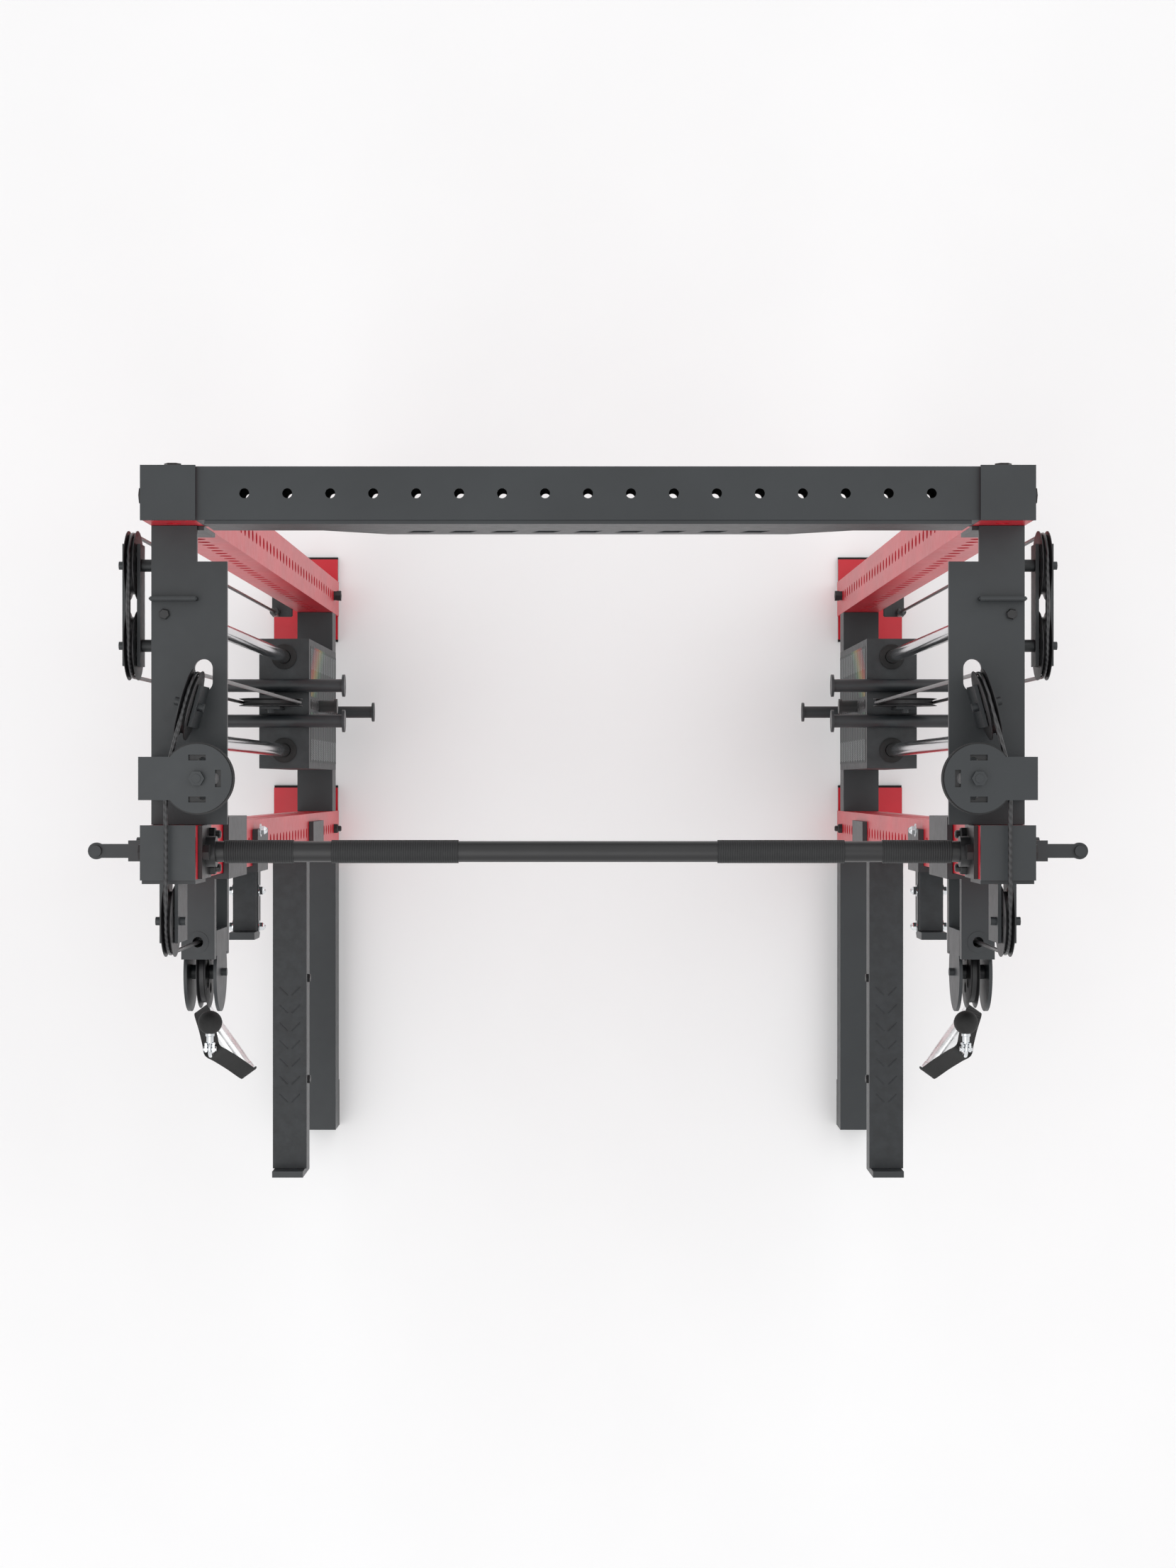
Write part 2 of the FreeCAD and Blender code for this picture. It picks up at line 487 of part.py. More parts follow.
def trolley():
    """The sleeve on the front upright with its ears, the pop pin drawn clear, and the swivelling head."""
    inside = "(tube_size + 2 * trolley_gap)"
    outside = f"({inside} + 2 * trolley_wall)"
    sleeve = box(outside, outside, "trolley_tall", UX, "front_y", "trolley_low")
    ear_deep = f"({FACE} - trolley_gap - {SWIVEL_Y} + 26)"
    ear_y = f"(({FACE} - trolley_gap + {SWIVEL_Y} - 26) / 2)"
    upper = "(trolley_axis + cheek_radius + 2)"
    lower = "(trolley_axis - cheek_radius - 22)"
    ears = [box("50", ear_deep, "20", UX, ear_y, z) for z in (upper, lower)]
    boss_x = f"({OUTER} - trolley_gap - trolley_wall - 17)"
    pin_hole = rod("pin_radius + 0.1", "60", f"{OUTER} - 35", "front_y", "pin_height", "x")
    boss = rod("13", "18", boss_x, "front_y", "pin_height", "x")
    hollow = box(inside, inside, "trolley_tall + 2", UX, "front_y", "trolley_low - 1")
    sides("trolley", cut(fuse(sleeve, *ears, boss), hollow,
                         rod("swivel_radius + 0.05", "24", UX, SWIVEL_Y, f"{upper} - 2"),
                         rod("10.05", "24", UX, SWIVEL_Y, f"{lower} - 2"), pin_hole))
    knob_x = f"({boss_x} - gap - pin_travel)"
    sides("pop_pin", fuse(rod("pin_radius", "45", knob_x, "front_y", "pin_height", "x"),
                          rod("14", "24", f"{knob_x} - 24", "front_y", "pin_height", "x")))
    wheel_y = f"({SWIVEL_Y} - trolley_groove)"
    cheeks = []
    for s in (-1, 1):
        x = f"({UX} + {s} * (head_half + cheek / 2))"
        cheeks.append(rod("cheek_radius", "cheek", f"{x} - cheek / 2", wheel_y, "trolley_axis", "x"))
        cheeks.append(box("cheek", "38", "2 * cheek_radius", x, f"{SWIVEL_Y} - 3", "trolley_axis - cheek_radius"))
    webs = [box("2 * head_half + 2 * cheek", "38", "12", UX, f"{SWIVEL_Y} - 3", z)
            for z in ("trolley_axis + cheek_radius - 12", "trolley_axis - cheek_radius")]
    sleeve_top = rod("swivel_radius", "34", UX, SWIVEL_Y, "trolley_axis + cheek_radius - 11")
    stub = rod("10", "28", UX, SWIVEL_Y, "trolley_axis - cheek_radius - 24")
    axle = rod("axle_radius", "2 * head_half + 2 * cheek + 16", f"{UX} - head_half - cheek - 8", wheel_y,
               "trolley_axis", "x")
    spacers = [rod("11", "head_half - cheek_gap + 1", f"{UX} {x} - 0.5", wheel_y, "trolley_axis", "x")
               for x in ("+ cheek_gap", "- head_half")]
    cable_way = rod("swivel_bore", "60", UX, SWIVEL_Y, "trolley_axis + cheek_radius - 20")
    sides("swivel_head", cut(fuse(*cheeks, *webs, sleeve_top, stub, axle, *spacers), cable_way))
    wheel("trolley_pulley", "trolley_groove", TURNS["x"], UX, wheel_y, "trolley_axis")


def handle():
    """The ball stop with its hook and ring, the strap and the grip."""
    run = "(trolley_axis - trolley_groove)"
    ball_y = f"({SWIVEL_Y} - trolley_groove - 82)"
    ball = bind(doc.addObject("Part::Sphere", "ball"), Radius="19")
    place(ball, UX, ball_y, run)
    stub = rod("cable_radius", "60", UX, ball_y, run, "y")
    hook = box("9", "34", "14", UX, f"{ball_y} - 30", f"{run} - 7")
    ring = bind(doc.addObject("Part::Torus", "ring"), Radius1="13", Radius2="3")
    ring.Placement = FreeCAD.Placement(V(), TURNS["x"])
    place(ring, UX, "-handle_reach + 6", f"{run} - 8")
    sides("cable_stop", fuse(ball, stub, hook, ring))
    grip_z = "(trolley_axis - trolley_groove - handle_drop)"
    turn = FreeCAD.Rotation(V(0, 0, 1), size["grip_turn"])
    grip = cut(rod("handle_radius", "grip_length", "0", "-grip_length / 2", "0", "y"),
               rod("handle_radius - 3", "grip_length + 2", "0", "-grip_length / 2 - 1", "0", "y"))
    grip.Placement = FreeCAD.Placement(V(), turn)
    sides("handle_grip", place(grip, UX, "-handle_reach", grip_z))
    body = doc.addObject("PartDesign::Body", "strap")
    half = "(grip_length / 2 + 0.2)"
    rise = "(handle_drop - 24.3)"
    sketch = polygon(body, "YZ_Plane", [
        (f"-{half} - strap_thick", "-10"), (f"-{half}", "-10"), (f"-{half}", "16"), ("-1", f"{rise} - 8"),
        ("1", f"{rise} - 8"), (half, "16"), (half, "-10"), (f"{half} + strap_thick", "-10"),
        (f"{half} + strap_thick", "18"), ("5", rise), ("-5", rise), (f"-{half} - strap_thick", "18")])
    pad(body, sketch, "strap_width", both_ways=True)
    body.Placement = FreeCAD.Placement(V(), turn)
    sides("handle_strap", place(body, UX, "-handle_reach", grip_z))


def profile(y, z, wide, x, *corners):
    """A plate of that width whose side outline is given from a point on the upright's face."""
    body = doc.addObject("PartDesign::Body", "profile")
    pad(body, polygon(body, "YZ_Plane", list(corners)), wide, both_ways=True)
    return place(body, x, y, z)


def hook_on(low, tall):
    """Back plate, side hook and the pin that goes into the upright's front hole."""
    plate = box("tube_size + 9", "back_thick", tall, f"{UX} + 4.5", f"{FACE} - gap - back_thick / 2", low)
    hook = box("9 - gap", "70", tall, f"{INNER} + 4.5 + gap / 2", f"{FACE} - gap - back_thick + 35", low)
    return [plate, hook]


def cups_and_arms():
    """J-cups and spotter arms, hooked on the front uprights, and their liners."""
    face = f"({FACE} - gap)"
    cup = profile(face, "cup_low", "cup_width", f"{UX} + cup_shift",
                  ("-back_thick + 1", "0"), ("-back_thick + 1", "36"), ("-cup_reach + 12", "36"),
                  ("-cup_reach + 12", "84"), ("-cup_reach", "84"), ("-cup_reach", "16"), ("-cup_reach + 14", "0.5"))
    pin = rod("hole_radius - 0.6", "30", UX, f"{face} - 3", "first_hole + cup_hole * hole_pitch", "y")
    both("j_cups", fuse(cup, *hook_on("cup_low", "cup_tall"), pin))
    liner = box("cup_width - 4", "cup_reach - back_thick - 14", "10", f"{UX} + cup_shift",
                f"{face} - (cup_reach + back_thick - 12) / 2", "cup_low + 36.2")
    arm_long = f"({face} - back_thick - arm_end)"
    arm_y = f"(({face} - back_thick + arm_end) / 2)"
    arm = box("arm_width", f"{arm_long} + 2", "arm_tall", UX, f"{arm_y} + 1", "arm_low")
    inside = box("arm_width - 2 * tube_wall", f"{arm_long} - 2 * tube_wall", "arm_tall - 2 * tube_wall", UX, arm_y,
                 "arm_low + tube_wall")
    lip = box("arm_width", "12", "pad_thick + 40", UX, "arm_end + 6", "arm_low + arm_tall - 1")
    gusset = profile(face, "arm_low", "plate_thick", UX,
                     ("-back_thick + 1", "-118"), ("-back_thick + 1", "1"), ("-190", "1"), ("-190", "-8"))
    pin = rod("hole_radius - 0.6", "30", UX, f"{face} - 3", "first_hole + 7 * hole_pitch", "y")
    both("spotter_arms", fuse(cut(arm, inside), lip, gusset, *hook_on("arm_low - 120", "arm_tall + 130"), pin))
    rest = box("arm_width + 6", f"{arm_long} - 13", "pad_thick", UX, f"{arm_y} + 6", "arm_low + arm_tall + 0.2")
    both("liners_and_pads", liner, rest)


def small_pieces():
    """Storage pegs, outer lugs and the frame's bolts."""
    peg_z = "(beam_low + tube_size / 2)"
    peg = fuse(rod("horn_radius", "86", f"{INNER} + 0.2", "stack_y", peg_z, "x"),
               rod("horn_radius + 8", "5", f"{INNER} + 82", "stack_y", peg_z, "x"))
    lug = fuse(box("36", "30", "8", f"{OUTER} - 18.2", "front_y", "rack_height - 120"),
               box("50", "20", "8", f"{OUTER} - 57", "front_y", "rack_height - 120"),
               rod("12", "8", f"{OUTER} - 82", "front_y", "rack_height - 120"),
               rod("18", "3", f"{OUTER} - 3.2", "front_y", "rack_height - 116", "x"),
               rod("8", "20", f"{OUTER} - 82", "front_y", "rack_height - 126"))
    both("pegs_and_lugs", peg, lug)
    bolts = []
    upper = "(rack_height - bridge_drop - tube_size / 2)"
    for y, z in (("rear_y", upper), ("front_y", "(bar_height + 36)"), ("rear_y", peg_z)):
        bolts.append(nut("12", "9", f"{OUTER} - 9.2", y, z, "x"))
        bolts.append(nut("12", "9", f"{INNER} + flange_thick + 0.5", y, z, "x"))
    for z in (upper, peg_z):
        bolts.append(nut("12", "8", UX, "rear_y + tube_size / 2 + 0.2", z, "y"))
    both("frame_bolts", *bolts)


def tube_along(label, radius, route, bends):
    """A round cable along straight runs, with a tangent arc at every inner corner."""
    edges = []
    start = route[0]
    for before, corner, after, bend in zip(route, route[1:], route[2:], bends):
        back = (before - corner).normalize()
        ahead = (after - corner).normalize()
        half = back.getAngle(ahead) / 2
        reach = bend / math.tan(half)
        first = corner + back * reach
        last = corner + ahead * reach
        centre = corner + (back + ahead).normalize() * (bend / math.sin(half))
        edges.append(Part.LineSegment(start, first).toShape())
        edges.append(Part.Arc(first, centre + (corner - centre).normalize() * bend, last).toShape())
        start = last
    edges.append(Part.LineSegment(start, route[-1]).toShape())
    wire = Part.Wire(edges)
    ring = Part.Wire([Part.makeCircle(radius, route[0], route[1] - route[0])])
    solid = wire.makePipeShell([ring], True, True, 2)
    wanted = math.pi * radius ** 2 * wire.Length
    if abs(solid.Volume / wanted - 1) > 0.01:
        raise ValueError(f"{label}: cable volume {solid.Volume:.0f}, wanted {wanted:.0f}")
    print(f"{label}: {wire.Length:.0f} mm, bends {[round(bend) for bend in bends]}")
    feature = doc.addObject("Part::Feature", label)
    feature.Shape = solid
    return feature


def cables():
    """The fixed runs over the top and outer pulleys, and the runs that grow as things slide."""
    thick = size["cable_radius"]
    groove = size["groove_radius"]
    top = size["cable_height"]
    x = value(UX)
    tilt = V(value(TILT_X), value(TILT_Y), top)
    lead = size["lead"]
    ahead = V(math.sin(BEND), math.cos(BEND), 0)
    stack = V(value(LIFT_IN), value("stack_y"), 0)
    front = value(SWIVEL_Y)
    over = tube_along("top_cable", thick, [
        V(x, front, value(WHEEL) - lead), V(x, front, top), V(x, value(TURN_Y), top),
        tilt + ahead * groove, V(stack.x, stack.y, value(DECK_TOP) + lead)], [groove] * 3)
    near = value("stack_y")
    far = value("stack_y + 2 * groove_radius + outer_spacing")
    out = value(LIFT_OUT)
    high = value("outer_height + groove_radius")
    round_back = tube_along("outer_cable", thick, [
        V(out, near, size["outer_height"] - lead), V(out, near, high), V(out, far, high),
        V(out, far, size["outer_end"])], [groove] * 2)
    end = rod("9", "40", LIFT_OUT, "stack_y + 2 * groove_radius + outer_spacing", "outer_end - 40")
    foot = box("16", "12", "40", f"{LIFT_OUT}", "rear_y - tube_size / 2 - 6", "outer_end - 80")
    both("fixed_cables", over, round_back, end, foot)
    inner_run = rod("cable_radius", f"{DECK_TOP} + lead - {LIFT_Z}", LIFT_IN, "stack_y", LIFT_Z)
    outer_run = rod("cable_radius", f"outer_height - lead - {LIFT_Z}", LIFT_OUT, "stack_y", LIFT_Z)
    sides("stack_cable", group(inner_run, outer_run))
    sides("trolley_cable", rod("cable_radius", f"{WHEEL} - lead - trolley_axis", UX, SWIVEL_Y, "trolley_axis"))


upright("front_upright", "front_y")
upright("rear_upright", "rear_y")
rubber_and_caps(base())
bridge()
pull_up_bar()
deck()
rods()
stack()
wheel("lifting_pulley", "lift_radius", TURNS["y"], LIFT_X, "stack_y", LIFT_Z)
top_pulleys()
trolley()
handle()
cups_and_arms()
small_pieces()
cables()
doc.recompute()

for thing in doc.Objects:
    if {"Invalid", "Error"} & set(thing.State):
        raise ValueError(f"{thing.Label} ({thing.Name}) failed: {thing.State}")
os.makedirs("parts", exist_ok=True)
for label, thing in nodes.items():
    if thing.Shape.isNull() or not thing.Shape.isValid() or not thing.Shape.Solids:
        raise ValueError(f"{label} has no valid shape")
    thing.Shape.exportStep(f"parts/{label}.step")
print(f"{len(nodes)} nodes written")
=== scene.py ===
import json
import math
import bmesh
import bpy
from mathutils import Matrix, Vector


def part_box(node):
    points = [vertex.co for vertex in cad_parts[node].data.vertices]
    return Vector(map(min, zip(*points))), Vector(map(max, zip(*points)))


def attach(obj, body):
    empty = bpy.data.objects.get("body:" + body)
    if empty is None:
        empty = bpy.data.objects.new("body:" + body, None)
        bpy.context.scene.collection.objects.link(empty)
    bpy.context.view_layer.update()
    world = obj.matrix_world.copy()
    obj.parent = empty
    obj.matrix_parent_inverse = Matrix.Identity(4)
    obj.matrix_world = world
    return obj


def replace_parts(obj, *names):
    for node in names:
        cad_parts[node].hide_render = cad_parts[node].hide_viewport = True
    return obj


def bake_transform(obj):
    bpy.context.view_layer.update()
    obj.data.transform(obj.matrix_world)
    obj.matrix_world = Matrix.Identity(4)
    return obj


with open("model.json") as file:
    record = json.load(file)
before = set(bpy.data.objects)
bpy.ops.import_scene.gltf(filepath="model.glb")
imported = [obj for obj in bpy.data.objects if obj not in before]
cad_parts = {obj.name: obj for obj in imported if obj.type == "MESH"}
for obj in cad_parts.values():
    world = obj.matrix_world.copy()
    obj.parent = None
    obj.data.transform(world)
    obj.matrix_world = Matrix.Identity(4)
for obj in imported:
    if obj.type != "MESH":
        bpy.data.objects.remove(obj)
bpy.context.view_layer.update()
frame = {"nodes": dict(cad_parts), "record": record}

SIDES = (("left", 1), ("right", -1))        # a side, and the way along X that points inwards from it
X, Y, Z = Vector((1, 0, 0)), Vector((0, 1, 0)), Vector((0, 0, 1))
UPRIGHT = 0.075             # the width of an upright's square tube
CABLE = 0.003               # a cable's radius


# ---------- materials ----------

def material(name, colour, rough, metal=0.0, **sockets):
    """A Principled surface with its plain numbers on the shader's own sockets."""
    made = bpy.data.materials.new(name)
    made.use_nodes = True
    shader = made.node_tree.nodes["Principled BSDF"]
    shader.inputs["Base Color"].default_value = (*colour, 1)
    shader.inputs["Roughness"].default_value = rough
    shader.inputs["Metallic"].default_value = metal
    for socket, number in sockets.items():
        shader.inputs[socket.replace("_", " ")].default_value = number
    return made


def node(made, kind, **inputs):
    added = made.node_tree.nodes.new(kind)
    for socket, number in inputs.items():
        added.inputs[socket.replace("_", " ")].default_value = number
    return added


def link(made, source, target):
    made.node_tree.links.new(source, target)


def noise(made, scale, detail=3.0, stretch=(1, 1, 1)):
    """Noise in object space, in metres, so that its grain keeps a real size."""
    place = node(made, "ShaderNodeTexCoord")
    spread = node(made, "ShaderNodeMapping", Scale=stretch)
    grain = node(made, "ShaderNodeTexNoise", Scale=scale, Detail=detail)
    link(made, place.outputs["Object"], spread.inputs["Vector"])
    link(made, spread.outputs["Vector"], grain.inputs["Vector"])
    return grain.outputs["Fac"]


def tint(made, factor, dark, light, low=0.35, high=0.65):
    """Colour that wanders between two shades."""
    ramp = node(made, "ShaderNodeValToRGB")
    ramp.color_ramp.elements[0].position = low
    ramp.color_ramp.elements[1].position = high
    ramp.color_ramp.elements[0].color = (*dark, 1)
    ramp.color_ramp.elements[1].color = (*light, 1)
    link(made, factor, ramp.inputs["Fac"])
    link(made, ramp.outputs["Color"], made.node_tree.nodes["Principled BSDF"].inputs["Base Color"])


def roughen(made, factor, low, high):
    spread = node(made, "ShaderNodeMapRange")
    spread.inputs["To Min"].default_value = low
    spread.inputs["To Max"].default_value = high
    link(made, factor, spread.inputs["Value"])
    link(made, spread.outputs["Result"], made.node_tree.nodes["Principled BSDF"].inputs["Roughness"])


def bump(made, height, strength, distance):
    raised = node(made, "ShaderNodeBump", Strength=strength, Distance=distance)
    link(made, height, raised.inputs["Height"])
    link(made, raised.outputs["Normal"], made.node_tree.nodes["Principled BSDF"].inputs["Normal"])


def ribs(made, scale, direction):
    """Even ribs along one axis, in object space."""
    place = node(made, "ShaderNodeTexCoord")
    wave = node(made, "ShaderNodeTexWave", Scale=scale)
    wave.wave_type = "BANDS"
    wave.bands_direction = direction
    link(made, place.outputs["Object"], wave.inputs["Vector"])
    return wave.outputs["Fac"]


def powder_coat(name, dark, light, rough):
    """Sprayed polymer: a fine pebbled skin over slow, faint changes of shade."""
    made = material(name, light, rough, Coat_Weight=0.12, Coat_Roughness=0.35)
    tint(made, noise(made, 5, 4), dark, light)
    roughen(made, noise(made, 60, 4), rough - 0.06, rough + 0.08)
    bump(made, noise(made, 1400, 2), 0.35, 0.0003)
    return made


def metal(name, dark, light, rough, grain, stretch):
    """Bare metal with drawn or ground lines along its length."""
    made = material(name, light, rough, 1.0)
    lines = noise(made, grain, 3, stretch)
    tint(made, lines, dark, light, 0.3, 0.7)
    roughen(made, lines, rough * 0.7, rough * 1.5)
    bump(made, lines, 0.12, 0.0002)
    return made


def moulded(name, dark, light, rough, grain):
    """Moulded polymer or rubber with a fine matt grain."""
    made = material(name, light, rough)
    tint(made, noise(made, grain / 20, 3), dark, light)
    roughen(made, noise(made, grain / 6, 3), rough - 0.08, rough + 0.1)
    bump(made, noise(made, grain, 2), 0.3, 0.0003)
    return made


def knurled():
    """Grip sleeves: turned rings round the bar, with an uneven polish."""
    made = material("knurled_grip", (0.008, 0.0085, 0.009), 0.66)
    rings = ribs(made, 95, "X")
    tint(made, rings, (0.004, 0.004, 0.005), (0.014, 0.015, 0.016), 0.2, 0.8)
    roughen(made, noise(made, 200, 3), 0.52, 0.72)
    bump(made, rings, 0.6, 0.0006)
    return made


def woven():
    """Flat webbing: fine slanting ribs, a little sheen, and lint-like changes of shade."""
    made = material("woven_webbing", (0.006, 0.006, 0.006), 0.9, Sheen_Weight=0.04, Sheen_Roughness=0.5)
    tint(made, noise(made, 160, 3), (0.0015, 0.0015, 0.0015), (0.0045, 0.0045, 0.005))
    bump(made, ribs(made, 240, "DIAGONAL"), 0.7, 0.0005)
    return made


def braided():
    """Cable jacket with the lay of the strands showing through it."""
    made = material("cable_jacket", (0.012, 0.012, 0.013), 0.33, Coat_Weight=0.2)
    strands = ribs(made, 60, "DIAGONAL")
    tint(made, strands, (0.006, 0.006, 0.007), (0.026, 0.026, 0.028), 0.2, 0.8)
    bump(made, strands, 0.5, 0.0006)
    return made


def cast():
    """Painted cast iron with shallow pits."""
    made = material("stack_iron", (0.03, 0.033, 0.036), 0.5)
    tint(made, noise(made, 30, 4), (0.014, 0.017, 0.019), (0.024, 0.028, 0.031))
    roughen(made, noise(made, 90, 4), 0.42, 0.6)
    bump(made, noise(made, 700, 4), 0.4, 0.0005)
    return made


LABEL_SLANT = 1.9                   # how steeply the coloured band climbs from front to back
LABEL_FROM, LABEL_TO = 1.05, 1.50   # the slanted height at which the shades begin and end
LABEL_ENDS = ((0.040, 0.048, 0.050, 1), (0.045, 0.050, 0.052, 1))
LABEL_BAND = (
    (0.30, (0.040, 0.050, 0.050, 1)), (0.42, (0.060, 0.130, 0.080, 1)), (0.54, (0.24, 0.20, 0.06, 1)),
    (0.66, (0.34, 0.09, 0.04, 1)), (0.78, (0.20, 0.03, 0.04, 1)), (0.84, (0.045, 0.050, 0.052, 1)))


def label_ink():
    """A printed strip: dark, with a muted band of green, yellow and red that slants across the pile."""
    made = material("printed_label", (0.05, 0.055, 0.06), 0.5)
    place = node(made, "ShaderNodeTexCoord")
    split = node(made, "ShaderNodeSeparateXYZ")
    slant = node(made, "ShaderNodeMath")
    slant.operation = "MULTIPLY_ADD"
    slant.inputs[1].default_value = LABEL_SLANT
    reach = node(made, "ShaderNodeMapRange")
    reach.inputs["From Min"].default_value = LABEL_FROM
    reach.inputs["From Max"].default_value = LABEL_TO
    ramp = node(made, "ShaderNodeValToRGB")
    shades = ramp.color_ramp
    for n, shade in enumerate(LABEL_ENDS):
        shades.elements[n].position = n
        shades.elements[n].color = shade
    for position, shade in LABEL_BAND:
        shades.elements.new(position).color = shade
    link(made, place.outputs["Object"], split.inputs["Vector"])
    link(made, split.outputs["Y"], slant.inputs[0])
    link(made, split.outputs["Z"], slant.inputs[2])
    link(made, slant.outputs["Value"], reach.inputs["Value"])
    link(made, reach.outputs["Result"], ramp.inputs["Fac"])
    link(made, ramp.outputs["Color"], made.node_tree.nodes["Principled BSDF"].inputs["Base Color"])
    bump(made, noise(made, 900, 2), 0.15, 0.0002)
    return made


RED = powder_coat("red_powder_coat", (0.50, 0.002, 0.014), (0.62, 0.003, 0.020), 0.34)
GREY = powder_coat("grey_powder_coat", (0.0125, 0.0155, 0.0180), (0.0180, 0.0220, 0.0250), 0.44)
BLACK = powder_coat("black_oxide", (0.004, 0.004, 0.005), (0.009, 0.009, 0.010), 0.38)
CHROME = metal("chrome", (0.62, 0.64, 0.66), (0.86, 0.88, 0.9), 0.10, 60, (1, 1, 0.05))
STEEL = metal("bright_steel", (0.80, 0.81, 0.82), (0.95, 0.95, 0.96), 0.26, 90, (1, 1, 1))
NYLON = moulded("moulded_nylon", (0.004, 0.004, 0.005), (0.010, 0.010, 0.011), 0.4, 900)
RUBBER = moulded("matt_rubber", (0.006, 0.006, 0.006), (0.013, 0.013, 0.013), 0.75, 700)
PAD = moulded("liner_plastic", (0.010, 0.012, 0.014), (0.016, 0.019, 0.022), 0.5, 1100)
SLOTS = {
    "red_powder_coat": RED, "grey_powder_coat": GREY, "black_steel": BLACK, "stack_iron": cast(),
    "chrome": CHROME, "bright_steel": STEEL, "black_plastic": NYLON, "black_rubber": RUBBER,
    "cable_jacket": braided(), "webbing": woven(),
}
LABEL = label_ink()
INK = moulded("pale_ink", (0.34, 0.36, 0.36), (0.42, 0.44, 0.44), 0.5, 900)
OWN = {"bar_grips": knurled(), "liners_and_pads": PAD, "pull_up_bar": BLACK, "pop_pin_left": NYLON,
       "pop_pin_right": NYLON}


def dress_frame():
    """Each CAD node takes its slot's material, or one of its own."""
    wanted = {part["node"]: part["material_slot"] for part in frame["record"]["subparts"]}
    for name, thing in frame["nodes"].items():
        chosen = OWN.get(name, SLOTS[wanted[name]])
        if not thing.material_slots:
            thing.data.materials.append(chosen)
        for place in thing.material_slots:
            place.link = "OBJECT"
            place.material = chosen


# ---------- mesh helpers ----------

SHARP = math.radians(35)        # an edge that turns more than this stays crisp


def piece(name, mesh, finish, body, smooth=True):
    """Turn a bmesh into an object that rides on a body, or on none when no body is given."""
    data = bpy.data.meshes.new(name)
    bmesh.ops.recalc_face_normals(mesh, faces=mesh.faces)
    mesh.to_mesh(data)
    mesh.free()
    made = bpy.data.objects.new(name, data)
    bpy.context.collection.objects.link(made)
    data.materials.append(finish)
    if smooth:
        data.shade_smooth()
        data.set_sharp_from_angle(angle=SHARP)
    if body:
        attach(made, body)
    return made


def ring(mesh, centre, first, second, radius, around):
    """Vertices round a circle, in the plane of two unit directions."""
    spots = []
    for n in range(around):
        turn = math.tau * n / around
        spots.append(mesh.verts.new(centre + radius * (first * math.cos(turn) + second * math.sin(turn))))
    return spots


def skin(mesh, rings, closed=False):
    """Faces from each ring of vertices to the next, with closed ends unless the rings form a loop."""
    pairs = list(zip(rings, rings[1:])) + ([(rings[-1], rings[0])] if closed else [])
    for low, high in pairs:
        for n in range(len(low)):
            other = (n + 1) % len(low)
            mesh.faces.new((low[n], low[other], high[other], high[n]))
    if not closed:
        mesh.faces.new(rings[0])
        mesh.faces.new(list(reversed(rings[-1])))


def tube(mesh, path, radius, around=16, closed=False):
    """Skin a path of points with a round tube."""
    rings = []
    last = len(path) - 1
    normal = None
    for k, spot in enumerate(path):
        before = path[k - 1] if k or closed else path[0]
        after = path[(k + 1) % len(path)] if k < last or closed else path[last]
        ahead = (after - before).normalized()
        if normal is None:
            normal = ahead.orthogonal().normalized()
        normal = (normal - ahead * normal.dot(ahead)).normalized()
        rings.append(ring(mesh, spot, normal, ahead.cross(normal), radius, around))
    skin(mesh, rings, closed)


def arc(centre, first, second, radius, start, end, steps=24):
    """Points round part of a circle, in the plane of two unit directions."""
    spots = []
    for k in range(steps + 1):
        turn = math.radians(start + (end - start) * k / steps)
        spots.append(centre + radius * (first * math.cos(turn) + second * math.sin(turn)))
    return spots


def lathe(mesh, centre, axis, outline, around=24):
    """Turn an outline of (along, radius) pairs about an axis."""
    axis = axis.normalized()
    first = axis.orthogonal().normalized()
    if abs(axis.z) < 0.9:
        first = (Z - axis * axis.z).normalized()
    second = axis.cross(first)
    skin(mesh, [ring(mesh, centre + axis * along, first, second, radius, around)
                for along, radius in outline])


def hexagon(mesh, centre, axis, radius, tall):
    """A bolt head or nut with a chamfered crown."""
    lathe(mesh, centre, axis, [(0, radius), (tall * 0.8, radius), (tall, radius * 0.84)], 6)


def acorn(mesh, centre, axis, radius):
    """A domed nut on a washer."""
    washer, washer_thick, nut_seat = radius * 1.35, 0.0015, 0.0016
    lathe(mesh, centre, axis, [(0, washer), (washer_thick, washer)], 28)
    hexagon(mesh, centre + axis.normalized() * nut_seat, axis, radius, radius * 0.8)
    dome = [(radius * 0.7, radius * 0.78)]
    dome += [(radius * (0.8 + 0.75 * math.sin(t)), radius * 0.76 * math.cos(t) + 0.0002)
             for t in (math.radians(a) for a in range(0, 91, 15))]
    lathe(mesh, centre, axis, dome, 24)


def slab(mesh, start, end, bevel=0.0015):
    """A block with softened edges between two opposite corners, given in either order."""
    low = Vector([min(pair) for pair in zip(start, end)])
    high = Vector([max(pair) for pair in zip(start, end)])
    wide = high - low
    centre = (high + low) / 2
    block = bmesh.new()
    bmesh.ops.create_cube(block, size=1)
    for corner in block.verts:
        corner.co = Vector((corner.co.x * wide.x, corner.co.y * wide.y, corner.co.z * wide.z)) + centre
    bmesh.ops.bevel(block, geom=block.edges[:], offset=bevel, segments=2, affect="EDGES")
    spare = bpy.data.meshes.new("spare")
    block.to_mesh(spare)
    block.free()
    mesh.from_mesh(spare)
    bpy.data.meshes.remove(spare)


# ---------- places read from the frame ----------

def corners(name):
    low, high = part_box(name)
    return Vector(low), Vector(high)


def middle(name):
    low, high = corners(name)
    return (low + high) / 2


def inner_face(name, m):
    """X of the side of a node that faces the middle of the machine; m points inwards."""
    low, high = corners(name)
    return high.x if m == 1 else low.x


def outer_face(name, m):
    return inner_face(name, -m)


